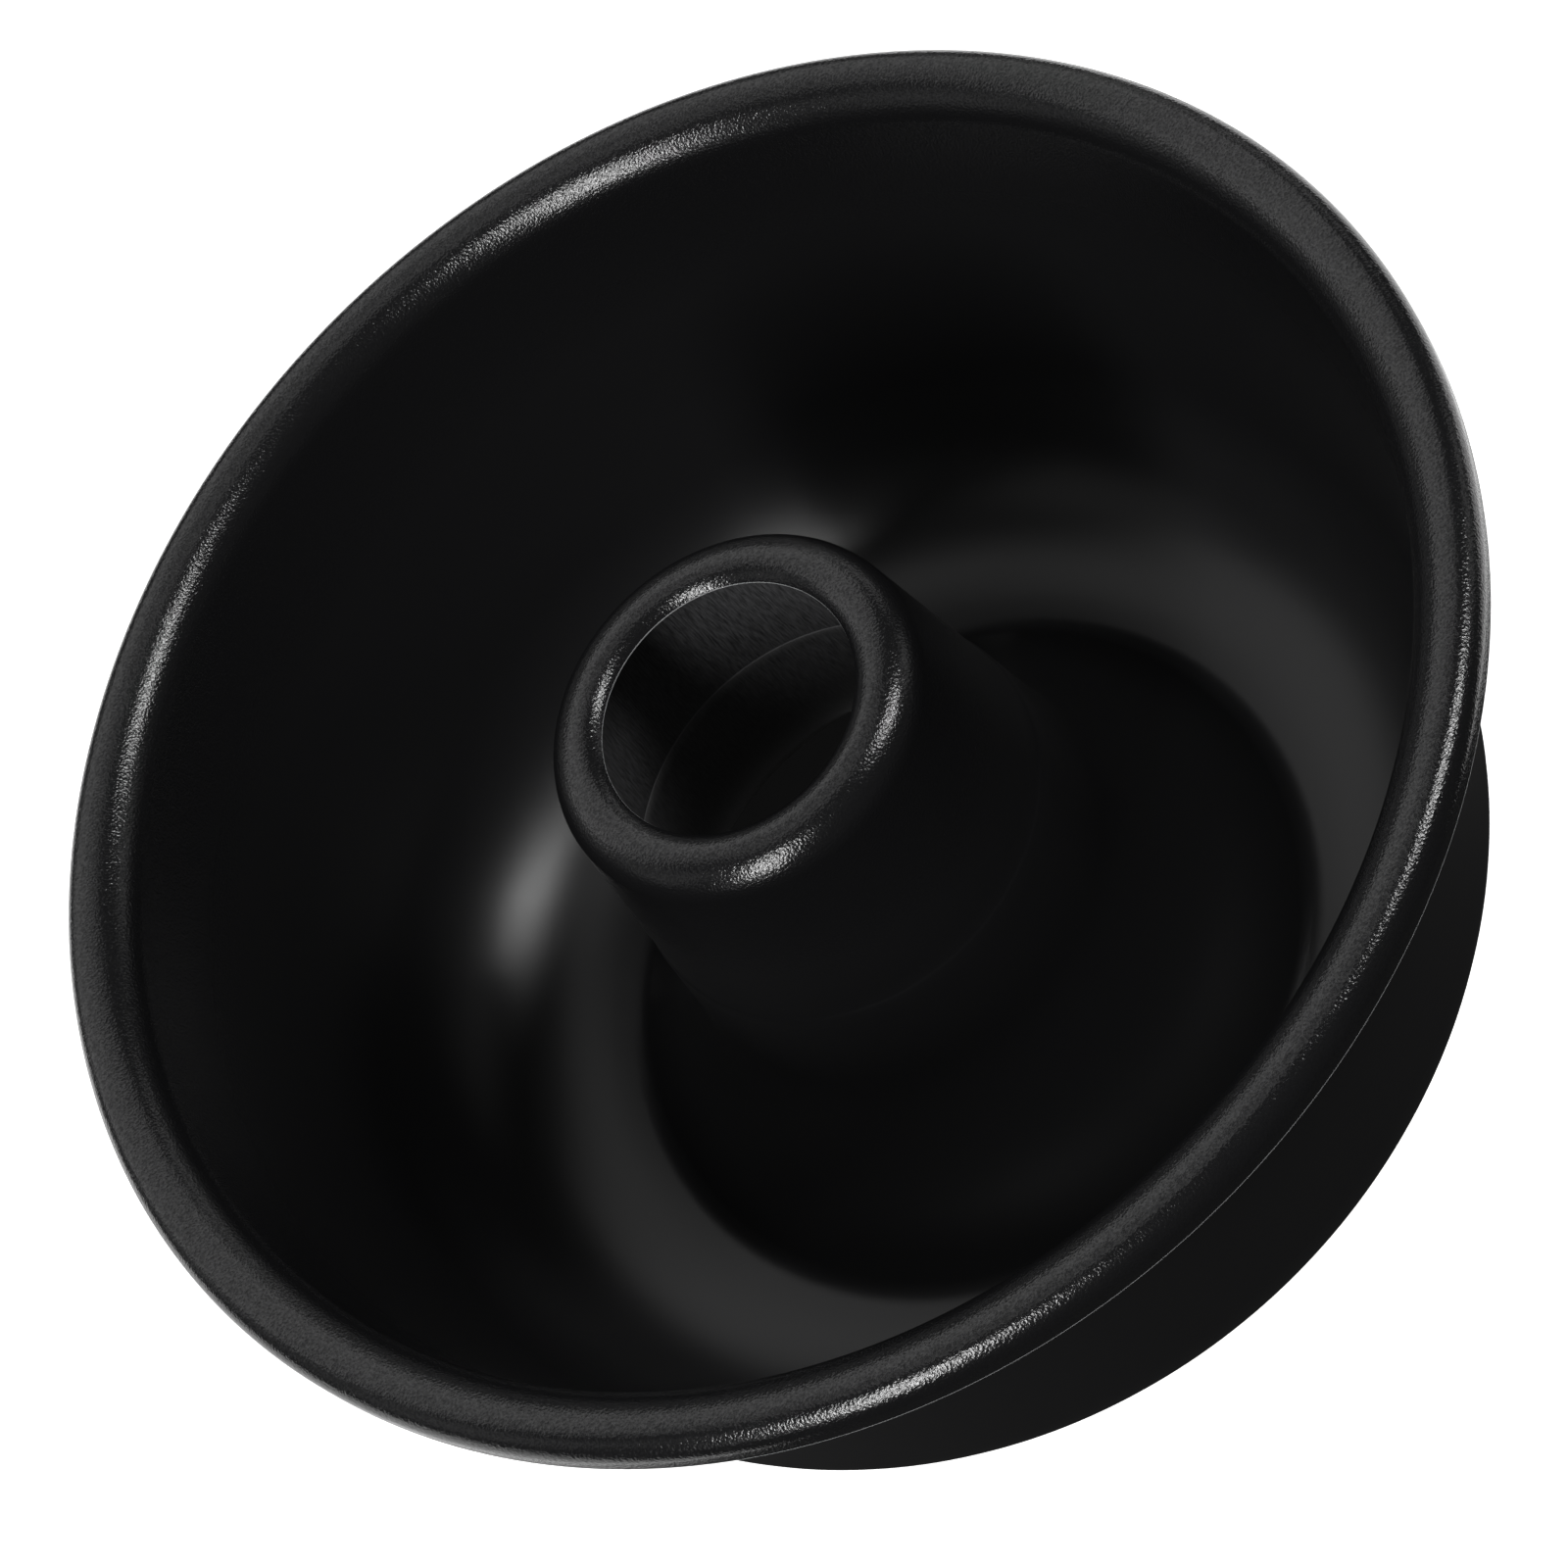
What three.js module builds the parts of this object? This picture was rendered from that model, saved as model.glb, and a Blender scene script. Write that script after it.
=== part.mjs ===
// Ring cake pan: one drawn steel sheet with a centre tube and a rolled rim, and the wire inside that rim.
// The pan stands on z = 0 and its axis is +Z. Sizes are in millimetres and angles in degrees.
import * as THREE from 'three';

// Driving dimensions
const RIM_DIAMETER = 200; // over the rolled rim
const PAN_HEIGHT = 83.5; // underside of the floor to the top of the rim
const SHEET = 0.7; // thickness of the sheet

const RIM_RADIUS = 4; // outside of the half-round rim
const LIP_LENGTH = 0.7; // straight lip below the half round
const FOLD_RADIUS = 0.2; // inside of the fold from the lip to the hem
const HEM_SLIT = 0.7; // open slit between the hem's cut edge and the wall

const WALL_TAPER = 9; // the wall opens upwards by this angle
const CORNER_RADIUS = 28.2; // wall to floor, on the cake side
const FLOOR_RING = 1.2; // width of the flat ring that the pan stands on

const TUBE_HEIGHT = 82.1; // underside of the floor to the crown of the tube's shoulder
const TUBE_TAPER = 6.5; // the tube narrows upwards by this angle
const HOLE_DIAMETER = 36; // hole pierced in the top of the tube
const SHOULDER_RADIUS = 5.3; // rounding of the shoulder, on the cake side
const SHOULDER_CURL = 37; // the sheet curls down past the crown by this angle, into the hole

const FLARE_RADIUS = 34; // tube to its sloping foot, on the cake side
const FOOT_SLOPE = 42; // the tube's foot falls to the floor at this angle
const ROOT_RADIUS = 5.5; // foot to floor, on the cake side

const DRAW_LINE_HEIGHT = 47.1; // ring where the second press stroke stopped
const DRAW_LINE_STEP = 0.25; // the tube widens by this much below the ring
const DRAW_LINE_RISE = 0.8; // height of that little step

const WIRE_CLEARANCE = 0.3; // above and below the wire in its channel

// Facets
const FACETS_ROUND = 64; // about the pan's axis
const FACETS_WIRE = 8; // about the wire's own section
const FACET_ERROR = 0.12; // how far a facet of the sheet's roundings may stand off the true arc

const { degToRad, lerp } = THREE.MathUtils;
const sine = (angle) => Math.sin(degToRad(angle));
const cosine = (angle) => Math.cos(degToRad(angle));
const tangent = (angle) => Math.tan(degToRad(angle));

// Centres of the rim's, the fold's and the shoulder's roundings, as (radius from the axis, height)
const rimCentre = new THREE.Vector2(RIM_DIAMETER / 2 - RIM_RADIUS, PAN_HEIGHT - RIM_RADIUS);
const foldCentre = new THREE.Vector2(RIM_DIAMETER / 2 - SHEET - FOLD_RADIUS, rimCentre.y - LIP_LENGTH);
const shoulderCentre = new THREE.Vector2(
  HOLE_DIAMETER / 2 + SHOULDER_RADIUS * sine(SHOULDER_CURL),
  TUBE_HEIGHT - SHOULDER_RADIUS,
);

// Radius of the cake side of the wall and of the tube at a height: each is a cone that touches its rounding.
const wallRadius = (height) =>
  rimCentre.x - RIM_RADIUS / cosine(WALL_TAPER) - (rimCentre.y - height) * tangent(WALL_TAPER);
const tubeRadius = (height) =>
  shoulderCentre.x +
  SHOULDER_RADIUS / cosine(TUBE_TAPER) +
  (shoulderCentre.y - height) * tangent(TUBE_TAPER);
const tubeFootRadius = (height) => tubeRadius(height) + DRAW_LINE_STEP;

// The tube's foot is a flare, a straight slope and a root. The roundings here and the wall's corner keep
// their radius unless the floor is too narrow for them and its flat ring: then they shrink and the slope is
// gone.
const cornerRun = CORNER_RADIUS * tangent((90 - WALL_TAPER) / 2);
const rootRun = ROOT_RADIUS * tangent(FOOT_SLOPE / 2);
const flareRun = FLARE_RADIUS * tangent((90 - TUBE_TAPER - FOOT_SLOPE) / 2);
const slopeRun = cosine(FOOT_SLOPE + TUBE_TAPER) / cosine(TUBE_TAPER); // across the floor, per unit of slope
const floorRoom = wallRadius(SHEET) - tubeFootRadius(SHEET) - FLOOR_RING;
const share = Math.min(1, floorRoom / (cornerRun + rootRun + (rootRun + flareRun) * slopeRun));
const cornerRadius = CORNER_RADIUS * share;
const rootRadius = ROOT_RADIUS * share;
const flareRadius = FLARE_RADIUS * share;
const cornerCentre = new THREE.Vector2(wallRadius(SHEET) - cornerRun * share, SHEET + cornerRadius);
const rootCentre = new THREE.Vector2(cornerCentre.x - FLOOR_RING, SHEET + rootRadius);

// The slope starts at the corner that it would make with the floor, and the flare joins it to the tube.
const footCorner = new THREE.Vector2(rootCentre.x - rootRun * share, SHEET);
const slopeLength = (footCorner.x - tubeFootRadius(SHEET)) / slopeRun - flareRun * share;
const flareCentre = new THREE.Vector2(-cosine(FOOT_SLOPE), sine(FOOT_SLOPE))
  .multiplyScalar(slopeLength)
  .addScaledVector(new THREE.Vector2(sine(FOOT_SLOPE), cosine(FOOT_SLOPE)), flareRadius)
  .add(footCorner);

// Points along a rounding of the sheet. The facets are counted on the cake side, so both faces have as many.
function arc(centre, radius, depth, from, to) {
  const facetAngle = 2 * Math.acos(1 - FACET_ERROR / radius);
  const steps = Math.ceil(degToRad(Math.abs(to - from)) / facetAngle);
  const points = [];
  for (let step = 0; step <= steps; step += 1) {
    const angle = lerp(from, to, step / steps);
    const reach = radius + depth;
    points.push(new THREE.Vector2(centre.x + reach * cosine(angle), centre.y + reach * sine(angle)));
  }
  return points;
}

// One face of the sheet, from the hole over the shoulder, down the tube, along the floor, up the wall, over
// the rim and back under it. Depth 0 is the cake side, and depth SHEET is the underside.
function sheetFace(depth) {
  const inwards = depth / cosine(TUBE_TAPER);
  const lineTop = DRAW_LINE_HEIGHT + DRAW_LINE_RISE;
  const hemHeight = foldCentre.y - FOLD_RADIUS - SHEET + depth;
  const hemEdge = wallRadius(hemHeight) + SHEET / cosine(WALL_TAPER) + HEM_SLIT;
  return [
    ...arc(shoulderCentre, SHOULDER_RADIUS, -depth, 90 + SHOULDER_CURL, 90),
    ...arc(shoulderCentre, SHOULDER_RADIUS, -depth, 90, TUBE_TAPER).slice(1),
    new THREE.Vector2(tubeRadius(lineTop) - inwards, lineTop),
    new THREE.Vector2(tubeFootRadius(DRAW_LINE_HEIGHT) - inwards, DRAW_LINE_HEIGHT),
    ...arc(flareCentre, flareRadius, depth, 180 + TUBE_TAPER, 270 - FOOT_SLOPE),
    ...arc(rootCentre, rootRadius, depth, 270 - FOOT_SLOPE, 270),
    ...arc(cornerCentre, cornerRadius, depth, 270, 360 - WALL_TAPER),
    ...arc(rimCentre, RIM_RADIUS, -depth, 180 - WALL_TAPER, 90),
    ...arc(rimCentre, RIM_RADIUS, -depth, 90, 0).slice(1),
    ...arc(foldCentre, FOLD_RADIUS + SHEET, -depth, 0, -90),
    new THREE.Vector2(hemEdge, hemHeight),
  ];
}

// The sheet: both faces, joined at the hole's cut edge and at the hem's, turned about the axis
function makePanShell() {
  const underside = sheetFace(SHEET);
  const cakeSide = sheetFace(0).reverse();
  const outline = [...underside, ...cakeSide, underside[0].clone()];
  const geometry = new THREE.LatheGeometry(outline, FACETS_ROUND).rotateX(Math.PI / 2);
  const finish = new THREE.MeshStandardMaterial({ color: '#1c1c1e', roughness: 0.42, metalness: 0.1 });
  const mesh = new THREE.Mesh(geometry, finish);
  mesh.name = 'pan_shell';
  return mesh;
}

// The wire: a closed ring that fills the height of the channel between the rim's crown and the hem
function makeRimWire() {
  const channelTop = PAN_HEIGHT - SHEET;
  const channelFloor = foldCentre.y - FOLD_RADIUS;
  const wireRadius = (channelTop - channelFloor) / 2 - WIRE_CLEARANCE;
  const geometry = new THREE.TorusGeometry(rimCentre.x, wireRadius, FACETS_WIRE, FACETS_ROUND);
  const finish = new THREE.MeshStandardMaterial({ color: '#8d8f92', roughness: 0.35, metalness: 1 });
  const mesh = new THREE.Mesh(geometry, finish);
  mesh.name = 'rim_wire';
  mesh.position.z = (channelTop + channelFloor) / 2;
  return mesh;
}

const pan = new THREE.Group();
pan.add(makePanShell(), makeRimWire());

export default pan;
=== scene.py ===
# %% [markdown]
# # A ring cake pan in black non-stick steel
#
# The pan is one steel sheet, pressed into a trough with a tube in the middle, and its rim is rolled over a
# wire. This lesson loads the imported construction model, lays a finer sheet over it, gives each side of the
# sheet its own finish, and lights it as a product photograph. The pan's sizes are in millimetres until they
# reach a mesh, the set round it is in metres, and angles are in degrees.

# %% Load the construction model
import math

import bpy
from mathutils import Matrix, Vector


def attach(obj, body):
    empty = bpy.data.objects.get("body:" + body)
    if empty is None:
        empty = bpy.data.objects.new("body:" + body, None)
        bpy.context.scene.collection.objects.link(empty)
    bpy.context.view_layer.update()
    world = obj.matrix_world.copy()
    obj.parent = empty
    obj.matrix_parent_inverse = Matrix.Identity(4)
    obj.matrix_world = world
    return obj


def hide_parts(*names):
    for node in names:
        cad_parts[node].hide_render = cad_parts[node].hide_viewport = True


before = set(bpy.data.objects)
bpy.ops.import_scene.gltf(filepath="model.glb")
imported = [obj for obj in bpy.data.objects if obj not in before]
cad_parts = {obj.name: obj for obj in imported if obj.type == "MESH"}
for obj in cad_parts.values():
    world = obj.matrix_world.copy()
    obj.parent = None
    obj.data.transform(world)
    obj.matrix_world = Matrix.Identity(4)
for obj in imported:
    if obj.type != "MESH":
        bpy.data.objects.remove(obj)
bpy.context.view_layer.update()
MM = 0.001

# %% [markdown]
# ## The sheet's section
#
# A pressed pan is round, so one section says all about its shape. The section is drawn as arcs and straight
# runs, the way the press tool is: shoulder of the tube, tube, flare, sloping foot, root, floor, corner, wall,
# rim. Each arc meets its neighbours at a tangent. Both faces of the sheet follow the same centres, one sheet
# thickness apart.
#
# The rim is drawn with two radii. The press bends the wall outwards over a wide one, and the rolling tool
# then curls the edge over a tight one. The construction model has a plain half round there, about a
# millimetre away. The tube's shoulder has two radii as well: a tight lip that curls into the hole, and a
# wider outer side.

# %% Sizes of the rim, the wall and the tube
RIM_DIAMETER = 200.0  # over the rolled rim
PAN_HEIGHT = 83.5  # underside of the floor to the top of the rim
SHEET = 0.7  # thickness of the sheet
RIM_CURL = 3.1  # tight radius of the rim's outer side
RIM_BEND = 6.6  # wide radius of the rim's inner side
LIP_LENGTH = 1.6  # straight lip below the curl
FOLD_RADIUS = 0.2  # inside of the fold from the lip to the hem
WALL_TAPER = 7.5  # the wall opens upwards by this angle
TUBE_HEIGHT = 82.1  # underside of the floor to the crown of the tube's shoulder
TUBE_TAPER = 6.5  # the tube narrows upwards by this angle
HOLE_DIAMETER = 36.0  # hole pierced in the top of the tube
SHOULDER_RADIUS = 5.3  # outer side of the tube's shoulder
HOLE_LIP_RADIUS = 3.8  # lip of the hole
HOLE_LIP_CURL = 57.0  # the lip curls down past the crown by this angle
DRAW_LINE_STEP = 0.25  # the tube widens by this much below its draw line
print("pan: %.0f mm wide, %.1f mm high, %.1f mm sheet" % (RIM_DIAMETER, PAN_HEIGHT, SHEET))

# %% [markdown]
# ## Centres of the roundings
#
# Every point here is (distance from the axis, height). The wall and the tube are cones that touch the
# roundings above them, so a cone's radius follows from the rounding's centre and the taper. At the bottom the
# centres come from the cones in turn: first the wall's corner, then the flat ring, the root and the foot.


# %% Rim, shoulder and the two cones
def sine(angle):
    return math.sin(math.radians(angle))


def cosine(angle):
    return math.cos(math.radians(angle))


def tangent(angle):
    return math.tan(math.radians(angle))


curl_centre = Vector((RIM_DIAMETER / 2 - RIM_CURL, PAN_HEIGHT - RIM_CURL))
bend_centre = Vector((curl_centre.x, PAN_HEIGHT - RIM_BEND))
fold_centre = Vector((RIM_DIAMETER / 2 - SHEET - FOLD_RADIUS, curl_centre.y - LIP_LENGTH))
hole_lip_reach = HOLE_LIP_RADIUS * sine(HOLE_LIP_CURL)
hole_lip_centre = Vector((HOLE_DIAMETER / 2 + hole_lip_reach, TUBE_HEIGHT - HOLE_LIP_RADIUS))
shoulder_centre = Vector((hole_lip_centre.x, TUBE_HEIGHT - SHOULDER_RADIUS))


def wall_radius(height):
    cone = (bend_centre.y - height) * tangent(WALL_TAPER)
    return bend_centre.x - RIM_BEND / cosine(WALL_TAPER) - cone


def tube_radius(height):
    cone = (shoulder_centre.y - height) * tangent(TUBE_TAPER)
    return shoulder_centre.x + SHOULDER_RADIUS / cosine(TUBE_TAPER) + cone


def tube_foot_radius(height):
    return tube_radius(height) + DRAW_LINE_STEP


print("wall at the floor: %.1f mm, tube at the floor: %.1f mm" % (wall_radius(0), tube_foot_radius(0)))

# %% Corner, root and flare
CORNER_RADIUS = 28.2  # wall to floor, on the cake side
FLOOR_RING = 1.2  # width of the flat ring that the pan stands on
ROOT_RADIUS = 5.5  # foot to floor, on the cake side
FOOT_SLOPE = 42.0  # the tube's foot falls to the floor at this angle
FLARE_RADIUS = 34.0  # tube to its sloping foot, on the cake side

corner_run = CORNER_RADIUS * tangent((90 - WALL_TAPER) / 2)
corner_centre = Vector((wall_radius(SHEET) - corner_run, SHEET + CORNER_RADIUS))
root_centre = Vector((corner_centre.x - FLOOR_RING, SHEET + ROOT_RADIUS))
foot_corner = Vector((root_centre.x - ROOT_RADIUS * tangent(FOOT_SLOPE / 2), SHEET))
slope_run = cosine(FOOT_SLOPE + TUBE_TAPER) / cosine(TUBE_TAPER)
slope_length = (foot_corner.x - tube_foot_radius(SHEET)) / slope_run
slope_length -= FLARE_RADIUS * tangent((90 - TUBE_TAPER - FOOT_SLOPE) / 2)
up_slope = Vector((-cosine(FOOT_SLOPE), sine(FOOT_SLOPE)))
off_slope = Vector((sine(FOOT_SLOPE), cosine(FOOT_SLOPE)))
flare_centre = foot_corner + slope_length * up_slope + FLARE_RADIUS * off_slope
print("flat ring of the floor: radius %.1f to %.1f mm" % (root_centre.x, corner_centre.x))

# %% [markdown]
# ## From arcs to points
#
# Smooth shading bends light over each facet, so the facets have to be small where the sheet turns and may be
# long where it is straight. An arc gets a point every few degrees. A straight run gets points too, or its
# shading would drift from one end to the other.

# %% Points along arcs and straight runs
ARC_STEP = 4.0  # degrees from point to point, at most
RUN_STEP = 2.5  # millimetres from point to point, at most
SAME_POINT = 1e-6  # millimetres within which two points are one


def arc(centre, radius, start, end):
    steps = max(2, math.ceil(abs(end - start) / ARC_STEP))
    angles = [start + (end - start) * step / steps for step in range(steps + 1)]
    return [centre + radius * Vector((cosine(angle), sine(angle))) for angle in angles]


def joined(*parts):
    """One list of points from several, with short steps over the straight gaps between them."""
    points = list(parts[0])
    for part in parts[1:]:
        gap = part[0] - points[-1]
        steps = max(1, math.ceil(gap.length / RUN_STEP))
        if gap.length > SAME_POINT:
            points += [points[-1] + gap * step / steps for step in range(1, steps)]
            points += part
        else:
            points += part[1:]
    return points


print("points on the rim's curl:", len(arc(curl_centre, RIM_CURL, 90, 0)))

# %% Points along one face of the sheet
DRAW_LINE_HEIGHT = 47.1  # ring where the second press stroke stopped
DRAW_LINE_RISE = 0.8  # height of the little step there
DRAW_LINE_BEAD = 0.12  # the step stands into the bore by this much
HEM_SLIT = 0.7  # open slit between the hem's cut edge and the wall


def tube_part(depth, bead=0.0):
    """Over the shoulder and down the tube to its root. Depth 0 is the cake side."""
    inwards = depth / cosine(TUBE_TAPER)
    line_top = DRAW_LINE_HEIGHT + DRAW_LINE_RISE
    line_middle = DRAW_LINE_HEIGHT + DRAW_LINE_RISE / 2
    return joined(
        arc(hole_lip_centre, HOLE_LIP_RADIUS - depth, 90 + HOLE_LIP_CURL, 90),
        arc(shoulder_centre, SHOULDER_RADIUS - depth, 90, TUBE_TAPER),
        [Vector((tube_radius(line_top) - inwards, line_top))],
        [Vector((tube_radius(line_middle) + DRAW_LINE_STEP / 2 - inwards - bead, line_middle))],
        [Vector((tube_foot_radius(DRAW_LINE_HEIGHT) - inwards, DRAW_LINE_HEIGHT))],
        arc(flare_centre, FLARE_RADIUS + depth, 180 + TUBE_TAPER, 270 - FOOT_SLOPE),
        arc(root_centre, ROOT_RADIUS + depth, 270 - FOOT_SLOPE, 270),
    )


def wall_part(depth):
    """From the floor up the wall, over the rim and under it to the hem."""
    hem_height = fold_centre.y - FOLD_RADIUS - SHEET + depth
    hem_edge = wall_radius(hem_height) + SHEET / cosine(WALL_TAPER) + HEM_SLIT
    return joined(
        arc(corner_centre, CORNER_RADIUS + depth, 270, 360 - WALL_TAPER),
        arc(bend_centre, RIM_BEND - depth, 180 - WALL_TAPER, 90),
        arc(curl_centre, RIM_CURL - depth, 90, 0),
        arc(fold_centre, FOLD_RADIUS + SHEET - depth, 0, -90),
        [Vector((hem_edge, hem_height))],
    )


cake_points = joined(tube_part(0), wall_part(0))
bore_points = tube_part(SHEET, DRAW_LINE_BEAD)
outside_points = joined([bore_points[-1]], wall_part(SHEET))
print("points:", len(cake_points), "cake side,", len(bore_points), "bore,", len(outside_points), "outside")

# %% [markdown]
# ## Cut edges of the sheet
#
# The hole and the hem are cut with a blade, and tumbling takes the sharpness off. So each cut edge has two
# small roundings that catch the light. A Bevel modifier could make them, but it would need to be told which
# edges are cut, and here both ends of the section are known.

# %% Roundings of the cut edges
EDGE_ROUNDING = 0.2  # radius of a rounding
MIDWAY = 0.29  # a quarter round's middle lies this many radii from the corner along both of its sides


def cut_edge(last, corner, other, beyond):
    """Points round a cut edge, from the face that ends at one corner to the face that starts at the other."""
    across = (other - corner).normalized()
    back = (last - corner).normalized()
    ahead = (beyond - other).normalized()
    near = [corner + EDGE_ROUNDING * way for way in (back, MIDWAY * (back + across), across)]
    far = [other + EDGE_ROUNDING * way for way in (-across, MIDWAY * (ahead - across), ahead)]
    return near + far


hem = cut_edge(cake_points[-2], cake_points[-1], outside_points[-1], outside_points[-2])
hole = cut_edge(bore_points[1], bore_points[0], cake_points[0], cake_points[1])
print("points on the cut edges:", len(hem) + len(hole))

# %% [markdown]
# ## Turning the section
#
# A Screw modifier would turn the section in one go. Here the rings are joined by hand, because each band of
# faces then knows which stretch of the sheet it belongs to, and gets its finish from that: the cake side, the
# outside, the bore of the tube, or bare steel at a cut edge. The fold below the rim's lip gets the bright
# steel finish too, along a thin line, as a painted highlight where the lip's edge catches the light.

# %% Bands of the closed section, each with its finish
CAKE_SIDE, OUTSIDE, BORE, STEEL_AND_PAINTED_HIGHLIGHT = range(4)

section = []
bands = []


def lay(points, finish):
    """Adds points to the closed section; the band that ends at each point takes the finish."""
    for point in points:
        section.append(point)
        bands.append(finish)


lay(cake_points[1:-1], CAKE_SIDE)
lay(hem, STEEL_AND_PAINTED_HIGHLIGHT)
lay(outside_points[-2::-1], OUTSIDE)
lay(bore_points[-2:0:-1], BORE)
lay(hole, STEEL_AND_PAINTED_HIGHLIGHT)

# The band that leads up to a cut edge still belongs to the face before it.
bands[len(cake_points) - 2] = CAKE_SIDE
bands[-len(hole)] = BORE
print("closed section:", len(section), "points")

# %% Painted highlight along the fold
# A thin band round the fold takes the bright steel finish as a painted highlight along the lip's edge.
HIGHLIGHT_LINE_FROM, HIGHLIGHT_LINE_TO = 6, 36  # degrees below level, round the fold

for index, point in enumerate(section):
    below_level = math.degrees(math.atan2(fold_centre.y - point.y, point.x - fold_centre.x))
    if bands[index] == CAKE_SIDE and HIGHLIGHT_LINE_FROM < below_level < HIGHLIGHT_LINE_TO:
        bands[index] = STEEL_AND_PAINTED_HIGHLIGHT
print("bands of bare steel:", bands.count(STEEL_AND_PAINTED_HIGHLIGHT))

# %% Mesh of the sheet
FACETS_ROUND = 288


def turned_mesh(name):
    count = len(section)
    corners = []
    for turn in range(FACETS_ROUND):
        across, along = cosine(360 * turn / FACETS_ROUND), sine(360 * turn / FACETS_ROUND)
        corners += [(p.x * MM * across, p.x * MM * along, p.y * MM) for p in section]
    faces = []
    finishes = []
    for turn in range(FACETS_ROUND):
        here, there = turn * count, (turn + 1) % FACETS_ROUND * count
        for index in range(count):
            before = index - 1 if index else count - 1
            faces.append((here + before, here + index, there + index, there + before))
            finishes.append(bands[index])
    mesh = bpy.data.meshes.new(name)
    mesh.from_pydata(corners, [], faces)
    mesh.polygons.foreach_set("material_index", finishes)
    mesh.polygons.foreach_set("use_smooth", [True] * len(faces))
    mesh.update()
    return mesh


sheet = bpy.data.objects.new("pan_sheet", turned_mesh("pan_sheet"))
bpy.context.scene.collection.objects.link(sheet)
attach(sheet, "root")
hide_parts("pan_shell")
print("pan_sheet:", len(sheet.data.polygons), "faces")

# %% [markdown]
# ## Colours and nodes
#
# Colours are picked as sRGB hex values, as on a colour chart, while the shader counts in linear light, so one
# function turns the first into the second, with the numbers of the sRGB standard. A second one adds a node
# with its settings and links, and a third starts a material. Patterns get the place on the pan in metres, so
# their scale is one over a size in metres.


# %% Helpers for materials
def linear(hex_colour):
    """An sRGB hex value as linear red, green, blue and alpha."""
    parts = [int(hex_colour[i : i + 2], 16) / 255 for i in (1, 3, 5)]
    return [p / 12.92 if p <= 0.04045 else ((p + 0.055) / 1.055) ** 2.4 for p in parts] + [1.0]


def node(tree, kind, links=(), settings=(), **values):
    """Adds a node. Links are (its input, another node's output or a value), settings are its own options."""
    made = tree.nodes.new(kind)
    for name, value in dict(settings).items():
        setattr(made, name, value)
    for name, value in values.items():
        made.inputs[name.replace("_", " ")].default_value = value
    for name, source in links:
        if isinstance(source, bpy.types.NodeSocket):
            tree.links.new(source, made.inputs[name])
        else:
            made.inputs[name].default_value = source
    return made


def new_material(name):
    material = bpy.data.materials.new(name)
    material.use_nodes = True
    tree = material.node_tree
    tree.nodes.clear()
    return material, tree


COAT_BLACK, COAT_IOR = "#161617", 1.5
NOISE_LOW, NOISE_HIGH = 0.3, 0.7  # nearly all of a noise lies between these
print("black of the coat, linear:", [round(c, 4) for c in linear(COAT_BLACK)])

# %% [markdown]
# ## Black non-stick coat, cake side
#
# The coat is a baked fluoropolymer paint, sprayed on blasted steel. It is nearly black, and its skin keeps a
# pebble from the spray that breaks a highlight up into sparks. A rough shader alone would give a smooth glow,
# so the pebble is a bump under a clearer coat, and its flecks shine a little more or less. In life the pebble
# is finer, and it is drawn as coarse as it needs to be to show.
#
# In the trough the wet paint flows together. The pebble fades there, and what is left of it is too fine to
# draw, so the shader's roughness stands for it. On the rim and the tube's shoulder the pebble is strong.

# %% Cake-side coat
PEBBLE, PEBBLE_HEIGHT = 0.34, 0.075  # width and height of a pebble
RIM_ZONE_FROM, RIM_ZONE_TO = 55, 76  # the pebble grows between these heights
GRAIN_IN_TROUGH, GRAIN_ON_RIM = 0.08, 0.85  # strength of the bump
ROUGH_IN_TROUGH, ROUGH_ON_RIM = 0.34, 0.18
SHINE_IN_TROUGH, SHINE_OF_DULL_FLECK, SHINE_OF_BRIGHT_FLECK = 0.5, 0.3, 0.75


def cake_side_coat():
    material, tree = new_material("sprayed non-stick coat")
    place = node(tree, "ShaderNodeTexCoord").outputs["Object"]
    height = node(tree, "ShaderNodeSeparateXYZ", [("Vector", place)]).outputs["Z"]
    on_rim, grain, rough = [
        node(
            tree, "ShaderNodeMapRange", [("Value", height)],
            From_Min=RIM_ZONE_FROM * MM, From_Max=RIM_ZONE_TO * MM, To_Min=in_trough, To_Max=at_rim,
        ).outputs["Result"]
        for in_trough, at_rim in (
            (0, 1), (GRAIN_IN_TROUGH, GRAIN_ON_RIM), (ROUGH_IN_TROUGH, ROUGH_ON_RIM)
        )
    ]
    pebble = node(
        tree, "ShaderNodeTexNoise", [("Vector", place)], Scale=1 / (PEBBLE * MM), Detail=1.0
    ).outputs["Fac"]
    skin = node(
        tree, "ShaderNodeBump", [("Height", pebble), ("Strength", grain)], Distance=PEBBLE_HEIGHT * MM
    )
    flecks = node(
        tree, "ShaderNodeMapRange", [("Value", pebble)], From_Min=NOISE_LOW, From_Max=NOISE_HIGH,
        To_Min=SHINE_OF_DULL_FLECK, To_Max=SHINE_OF_BRIGHT_FLECK,
    )
    shine = node(
        tree, "ShaderNodeMix", [("Factor", on_rim), ("B", flecks.outputs["Result"])], A=SHINE_IN_TROUGH
    )
    coat = node(
        tree, "ShaderNodeBsdfPrincipled",
        [
            ("Normal", skin.outputs["Normal"]),
            ("Roughness", rough),
            ("Specular IOR Level", shine.outputs["Result"]),
        ],
        Base_Color=linear(COAT_BLACK), IOR=COAT_IOR,
    )
    node(tree, "ShaderNodeOutputMaterial", [("Surface", coat.outputs["BSDF"])])
    return material


sheet.data.materials.append(cake_side_coat())
print("materials:", [m.name for m in sheet.data.materials])

# %% [markdown]
# ## Thin coat on the outside
#
# The outside gets one thin pass of the same paint. The steel below it shows through as very fine rings,
# because the pan turns against a roller while its rim is rolled. A noise that is squeezed along the axis and
# drawn out across it makes such rings without a seam.

# %% Outside coat
RING_PITCH, RING_DEPTH = 0.35, 0.012  # from ring to ring, and how deep they are
RING_RUN = 1000 / 12  # how far a ring runs on before it changes


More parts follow.
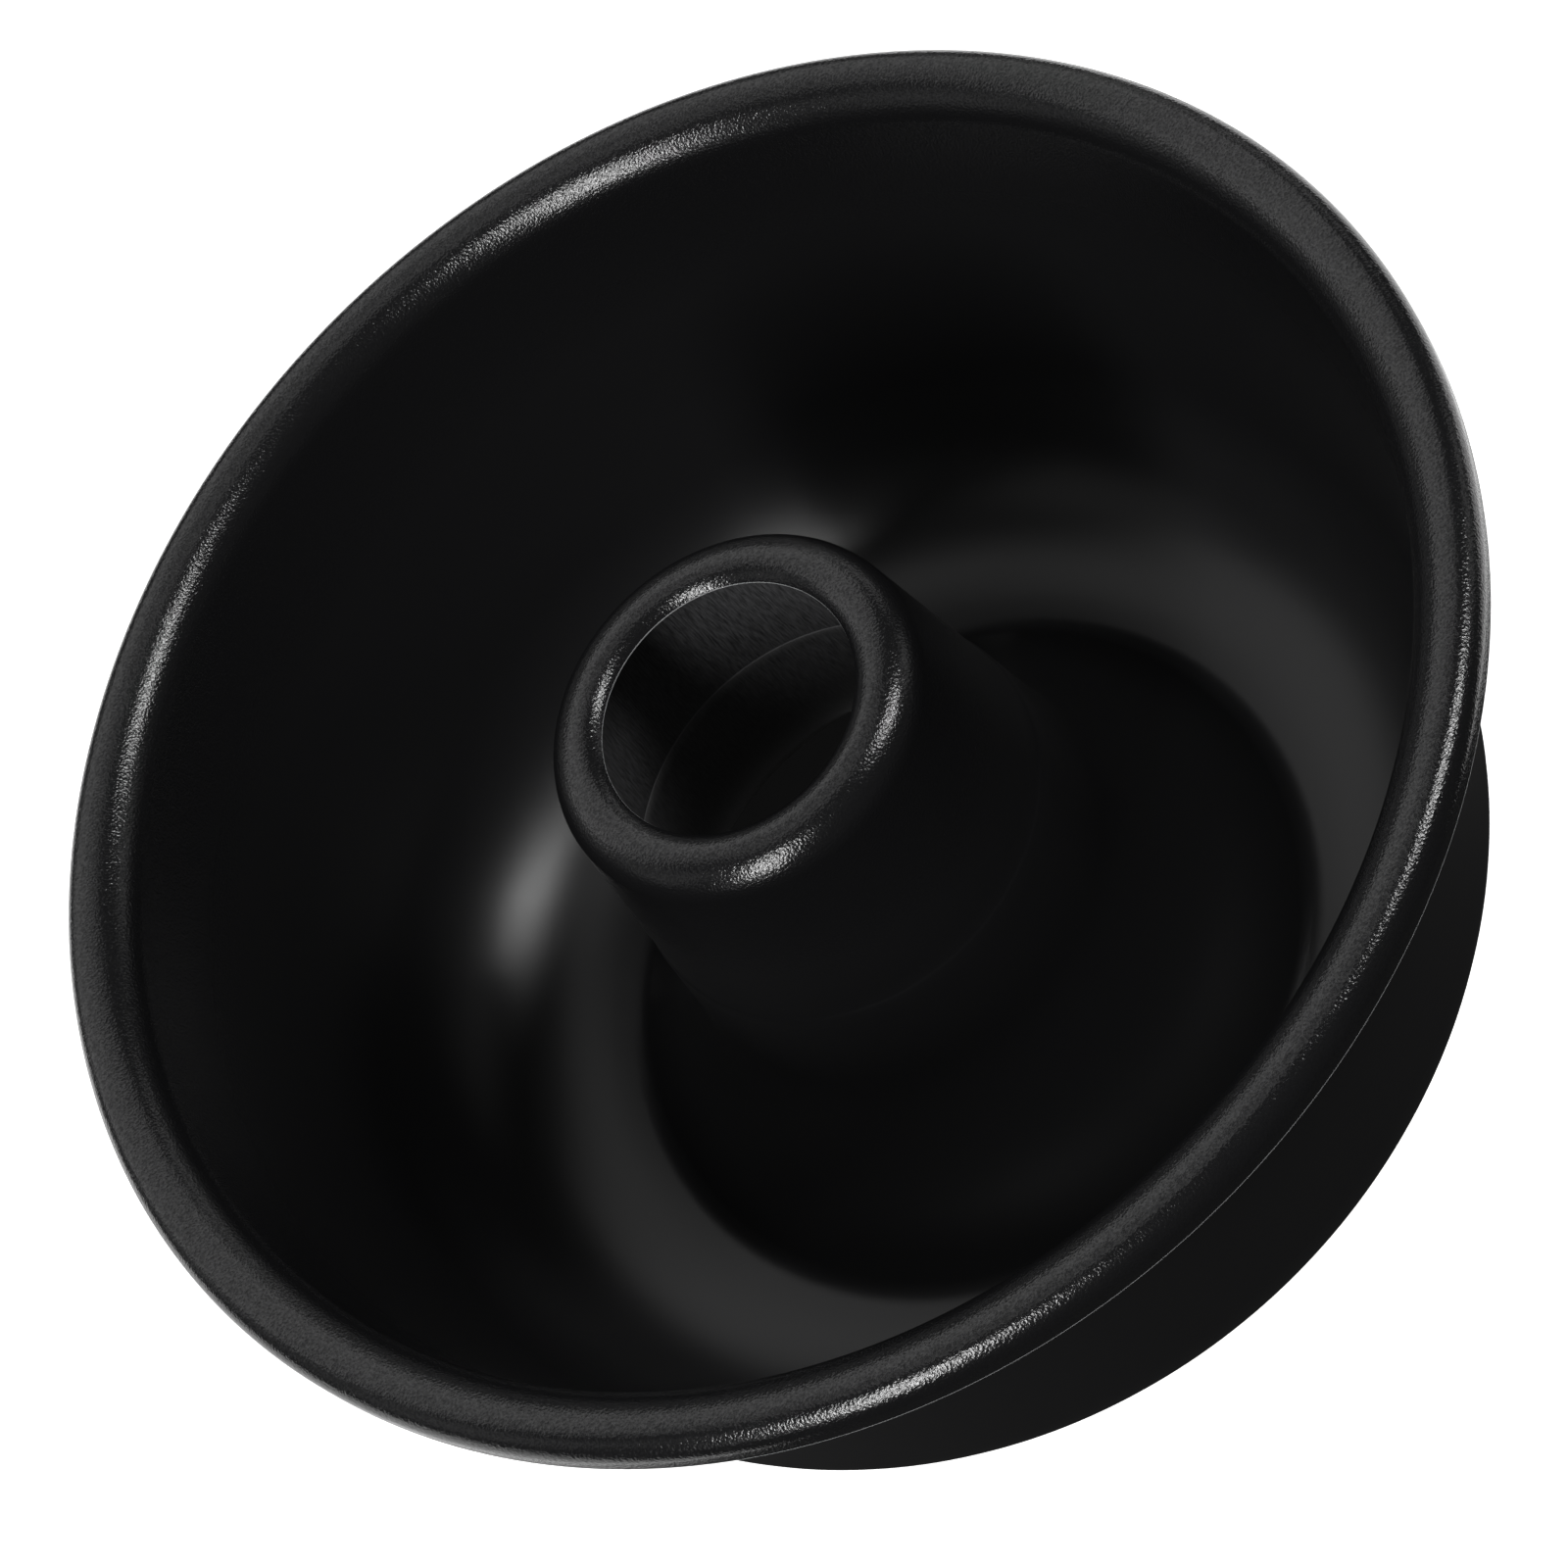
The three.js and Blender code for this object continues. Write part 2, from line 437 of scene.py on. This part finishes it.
def outside_coat():
    material, tree = new_material("thin non-stick coat on drawn steel")
    place = node(tree, "ShaderNodeTexCoord").outputs["Object"]
    squeeze = [1 / (size * MM) for size in (RING_RUN, RING_RUN, RING_PITCH)]
    squeezed = node(tree, "ShaderNodeMapping", [("Vector", place)], Scale=squeeze).outputs["Vector"]
    rings = node(tree, "ShaderNodeTexNoise", [("Vector", squeezed)], Scale=1.0, Detail=2.0).outputs["Fac"]
    skin = node(tree, "ShaderNodeBump", [("Height", rings)], Strength=1.0, Distance=RING_DEPTH * MM)
    coat = node(
        tree, "ShaderNodeBsdfPrincipled", [("Normal", skin.outputs["Normal"])],
        Base_Color=linear(COAT_BLACK), Roughness=0.36, IOR=COAT_IOR,
    )
    node(tree, "ShaderNodeOutputMaterial", [("Surface", coat.outputs["BSDF"])])
    return material


sheet.data.materials.append(outside_coat())
print("materials:", [m.name for m in sheet.data.materials])

# %% [markdown]
# ## Thin coat in the bore
#
# The punch irons the tube as it pushes through, and leaves fine scores that run along the axis. A noise on
# the direction from the axis gives each score one place round the tube, and a little of the height lets it
# end. The coat is so thin that grey steel shows on the scores. The grey fades out down the tube, as painted
# shade where less light reaches in. The draw line stands proud, and the grey all round it is a painted
# highlight.

# %% Scores in the bore
SCORE_WIDTH, SCORE_LENGTH, SCORE_DEPTH = 0.1385, 2.564, 0.035
scores_round = round(HOLE_DIAMETER / 2 / SCORE_WIDTH)  # scores side by side on a length of one radius


def bore_scores(tree, place):
    flat = node(
        tree, "ShaderNodeVectorMath", [(0, place), (1, (1, 1, 0))], {"operation": "MULTIPLY"}
    ).outputs["Vector"]
    around = node(tree, "ShaderNodeVectorMath", [(0, flat)], {"operation": "NORMALIZE"}).outputs["Vector"]
    lengthwise = (0, 0, 1 / (SCORE_LENGTH * MM * scores_round))
    drawn_out = node(
        tree, "ShaderNodeVectorMath", [(0, place), (1, lengthwise), (2, around)],
        {"operation": "MULTIPLY_ADD"},
    ).outputs["Vector"]
    return node(
        tree, "ShaderNodeTexNoise", [("Vector", drawn_out)], Scale=scores_round, Detail=4.0
    ).outputs["Fac"]


print("scores on one radius:", scores_round)

# %% Steel grey in the bore, with painted shade and a painted highlight
# The grey fades out down the bore: painted shade where less light reaches into the tube.
PAINTED_SHADE_FROM, PAINTED_SHADE_TO = 15, 60  # the steel begins to show between these heights
LEAST_BARED, MOST_BARED = 0.05, 0.5  # share of steel beside a score and on it


def scored_grey_and_painted_light(tree, height, scores):
    on_scores = node(
        tree, "ShaderNodeMapRange", [("Value", scores)],
        From_Min=NOISE_LOW, From_Max=NOISE_HIGH, To_Min=LEAST_BARED, To_Max=MOST_BARED,
    ).outputs["Result"]
    higher_up = node(
        tree, "ShaderNodeMapRange", [("Value", height)], From_Min=PAINTED_SHADE_FROM * MM, From_Max=PAINTED_SHADE_TO * MM
    ).outputs["Result"]
    scored = node(
        tree, "ShaderNodeMath", [(0, on_scores), (1, higher_up)], {"operation": "MULTIPLY"}
    ).outputs["Value"]
    # The draw line gets the full grey all round: a painted highlight.
    half_rise = DRAW_LINE_RISE / 2
    highlight_on_draw_line = node(
        tree, "ShaderNodeMath",
        [(0, height), (1, (DRAW_LINE_HEIGHT + half_rise) * MM), (2, half_rise * MM)],
        {"operation": "COMPARE"},
    ).outputs["Value"]
    return node(
        tree, "ShaderNodeMath", [(0, scored), (1, highlight_on_draw_line)], {"operation": "MAXIMUM"}
    ).outputs["Value"]


print("steel shows from %.0f mm up, and on the draw line at %.1f mm" % (PAINTED_SHADE_FROM, DRAW_LINE_HEIGHT))

# %% Bore coat
# The grey shows on the scores, and also makes the painted highlight on the draw line.
SCORE_AND_HIGHLIGHT_GREY = "#7c7c7e"
MIX_COLOUR_A, MIX_COLOUR_B, MIX_COLOUR_RESULT = 6, 7, 2  # places of a Mix node's colour sockets


def bore_coat():
    material, tree = new_material("thin non-stick coat on ironed steel")
    place = node(tree, "ShaderNodeTexCoord").outputs["Object"]
    height = node(tree, "ShaderNodeSeparateXYZ", [("Vector", place)]).outputs["Z"]
    scores = bore_scores(tree, place)
    skin = node(tree, "ShaderNodeBump", [("Height", scores)], Strength=1.0, Distance=SCORE_DEPTH * MM)
    grey = node(
        tree, "ShaderNodeMix",
        [
            ("Factor", scored_grey_and_painted_light(tree, height, scores)),
            (MIX_COLOUR_A, linear(COAT_BLACK)),
            (MIX_COLOUR_B, linear(SCORE_AND_HIGHLIGHT_GREY)),
        ],
        {"data_type": "RGBA"},
    )
    coat = node(
        tree, "ShaderNodeBsdfPrincipled",
        [("Normal", skin.outputs["Normal"]), ("Base Color", grey.outputs[MIX_COLOUR_RESULT])],
        Roughness=0.35, IOR=COAT_IOR, Sheen_Weight=0.3, Sheen_Roughness=0.3,
    )
    node(tree, "ShaderNodeOutputMaterial", [("Surface", coat.outputs["BSDF"])])
    return material


sheet.data.materials.append(bore_coat())
print("materials:", [m.name for m in sheet.data.materials])

# %% [markdown]
# ## Bare steel
#
# The coat is sprayed from above and below, and hardly reaches the edge that the blade left, so bare steel
# shows as a thin bright line round the hole and along the hem. The painted highlight along the fold has the
# same finish. The blade's marks scatter the light, so this steel is dull.
#
# The wire in the rim is the construction model's own ring. It is drawn through a die, which leaves it
# smoother, and it stays bare, since the rolled rim hides it. Through the slit beside the hem one could see a
# little of it.

# %% Cut edges
CUT_STEEL = "#e2e3e4"


def steel_finish(name, colour, roughness):
    material, tree = new_material(name)
    steel = node(
        tree, "ShaderNodeBsdfPrincipled", Base_Color=linear(colour), Metallic=1.0, Roughness=roughness
    )
    node(tree, "ShaderNodeOutputMaterial", [("Surface", steel.outputs["BSDF"])])
    return material


sheet.data.materials.append(steel_finish("cut steel edge and painted highlight", CUT_STEEL, roughness=0.7))
print("materials:", [m.name for m in sheet.data.materials])

# %% Wire in the rim
WIRE_STEEL = "#a9abad"

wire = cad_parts["rim_wire"]
wire.data.materials.clear()
wire.data.materials.append(steel_finish("drawn steel wire", WIRE_STEEL, roughness=0.32))
print("rim_wire:", wire.data.materials[0].name)

# %% [markdown]
# ## White board
#
# Product pictures of dark ware are made on a white board that is lit from below, so that no shadow is left
# round the object. Here the board glows by itself. Inside the ring that the pan stands on lies a grey disc
# that glows only faintly: painted shade under the pan, with a painted dim light for what falls in through
# the tube. The board is kept out of the pan's reflections, because a real set hides it from them with black
# cards along the front.

# %% Floor
FLOOR_SIZE = 6.0  # metres
COVER_LIFT = 0.1  # millimetres that the covered part lies above the rest, so that it hides it
COVER_STEP = 5  # degrees from corner to corner of the covered part
BOARD_WHITE, PAINTED_SHADE_GREY, LAMP_WHITE = "#f2f2f0", "#707070", "#ffffff"


def board_finish(name, colour, glow):
    material, tree = new_material(name)
    board = node(
        tree, "ShaderNodeBsdfPrincipled",
        Base_Color=linear(colour), Roughness=0.9, Emission_Color=linear(LAMP_WHITE), Emission_Strength=glow,
    )
    node(tree, "ShaderNodeOutputMaterial", [("Surface", board.outputs["BSDF"])])
    return material


def stage_piece(name, corners, material):
    mesh = bpy.data.meshes.new(name)
    mesh.from_pydata(corners, [], [tuple(range(len(corners)))])
    mesh.materials.append(material)
    piece = bpy.data.objects.new(name, mesh)
    bpy.context.scene.collection.objects.link(piece)
    return piece


half = FLOOR_SIZE / 2
square = [(-half, -half, 0), (half, -half, 0), (half, half, 0), (-half, half, 0)]
floor = stage_piece("floor", square, board_finish("lit white board", BOARD_WHITE, glow=1.0))
floor.visible_glossy = False
floor.visible_diffuse = False

# The grey disc under the pan is painted shade, and its faint glow is a painted dim light inside the tube.
shade = corner_centre.x * MM
turns = range(0, 360, COVER_STEP)
disc = [(shade * cosine(angle), shade * sine(angle), COVER_LIFT * MM) for angle in turns]
stage_piece("painted_shade_floor", disc, board_finish("painted shade under the pan", PAINTED_SHADE_GREY, glow=0.004))
print("floor: %.1f m, covered part: %.3f m" % (FLOOR_SIZE, 2 * shade))

# %% [markdown]
# ## Lights
#
# On black ware one sees reflections, and hardly any shade, so each light is placed for the highlight that it
# draws. Two tall, hot strips at the left and the right make the streaks on the rim, the shoulder and the
# inner corner. Wide, weak panels behind and above make the grey bands along the rim and the rings of light at
# the foot of the tube and in the corner. Low panels at the sides light only the rim's inner edge, because the
# wall shades the trough from them. Three boards on the table draw a thin line along the rim's outer edge, and
# a weak fourth one inside the tube lights the bore from below.

# %% Soft boxes
LIGHT_DISTANCE = 1.0  # metres
AIM = Vector((0, 0, 0.08))  # near the top of the tube


def area_light(name, width, height, radiance):
    """A rectangle in metres that shines with the same radiance all over."""
    light = bpy.data.lights.new(name, "AREA")
    light.shape = "RECTANGLE"
    light.size, light.size_y = width, height
    light.energy = radiance * math.pi * width * height
    lamp = bpy.data.objects.new(name, light)
    lamp.visible_camera = False
    bpy.context.scene.collection.objects.link(lamp)
    return lamp


def soft_box(name, azimuth, elevation, width, height, radiance):
    """A box as the pan sees it, in degrees. Azimuth 0 is beyond the pan, and 90 is to its right."""
    flat = cosine(elevation)
    away = Vector((sine(azimuth) * flat, cosine(azimuth) * flat, sine(elevation)))
    spans = [2 * LIGHT_DISTANCE * tangent(angle / 2) for angle in (width, height)]
    lamp = area_light(name, *spans, radiance)
    lamp.location = AIM + away * LIGHT_DISTANCE
    lamp.rotation_euler = away.to_track_quat("Z", "Y").to_euler()


soft_box("left strip", azimuth=-136, elevation=37, width=8, height=38, radiance=23)
soft_box("right strip", azimuth=115, elevation=47, width=9, height=24, radiance=17)
soft_box("back panel, high", azimuth=-6, elevation=53, width=76, height=18, radiance=0.85)
soft_box("back panel, middle", azimuth=-6, elevation=35, width=72, height=16, radiance=0.95)
soft_box("back panel, low left", azimuth=-45, elevation=22, width=36, height=12, radiance=0.5)
soft_box("back panel, low right", azimuth=50, elevation=20, width=30, height=12, radiance=0.7)
soft_box("horizon panel", azimuth=0, elevation=6, width=120, height=12, radiance=0.12)
soft_box("left side panel", azimuth=-85, elevation=30, width=26, height=36, radiance=0.3)
soft_box("right side panel, low", azimuth=95, elevation=17, width=20, height=20, radiance=0.55)
soft_box("left side panel, low", azimuth=-128, elevation=12, width=20, height=14, radiance=0.5)
soft_box("top panel", azimuth=-5, elevation=80, width=40, height=24, radiance=0.6)

# %% Boards on the table
BOARD_LIFT = 0.001  # metres above the floor


def table_board(name, x, y, width, depth, radiance):
    """A board in metres that lies on the table and shines upwards."""
    lamp = area_light(name, width, depth, radiance)
    lamp.location = (x, y, BOARD_LIFT)
    lamp.rotation_euler = (math.pi, 0, 0)


table_board("board behind", x=0, y=0.45, width=1.6, depth=0.66, radiance=1.6)
table_board("left board", x=-0.45, y=0, width=0.66, depth=0.22, radiance=1.2)
table_board("right board", x=0.45, y=0, width=0.66, depth=0.22, radiance=1.6)
table_board("spot in the tube", x=0, y=0, width=0.08, depth=0.08, radiance=0.015)

# %% Dim room
ROOM_GLOW = 0.028

world = bpy.data.worlds.new("dim room")
world.use_nodes = True
background = world.node_tree.nodes["Background"]
background.inputs["Color"].default_value = linear(LAMP_WHITE)
background.inputs["Strength"].default_value = ROOM_GLOW
bpy.context.scene.world = world
print("room:", world.name)

# %% [markdown]
# ## Camera
#
# A short telephoto lens, half a metre away, looks down at the pan at about fifty degrees. The picture is
# turned by an eighth of a turn, which is why the pan seems to lean although it stands flat.

# %% Camera
LENS, SENSOR = 90.0, 36.0
CAMERA_PIVOT = 79.5  # height of a point on the pan's axis
CAMERA_DISTANCE = 504.6  # from that point
CAMERA_ELEVATION = 51.8  # above level, from that point
CAMERA_SIDE = -1.8  # step to the right
CAMERA_DIP = 1.315  # the lens looks this much below that point
CAMERA_ROLL = -45.0

level_distance = CAMERA_DISTANCE * cosine(CAMERA_ELEVATION)
eye_height = CAMERA_PIVOT + CAMERA_DISTANCE * sine(CAMERA_ELEVATION)
eye = Vector((CAMERA_SIDE, -level_distance, eye_height)) * MM
tilt = Matrix.Rotation(math.radians(90 - CAMERA_ELEVATION - CAMERA_DIP), 4, "X")
roll = Matrix.Rotation(math.radians(CAMERA_ROLL), 4, "Z")
lens = bpy.data.cameras.new("camera")
lens.lens, lens.sensor_width = LENS, SENSOR
lens.clip_start, lens.clip_end = 0.01, 50
camera = bpy.data.objects.new("camera", lens)
camera.matrix_world = Matrix.Translation(eye) @ tilt @ roll
bpy.context.scene.collection.objects.link(camera)
bpy.context.scene.camera = camera
bpy.context.scene.view_settings.view_transform = "Standard"
print("camera at", [round(v, 4) for v in eye])
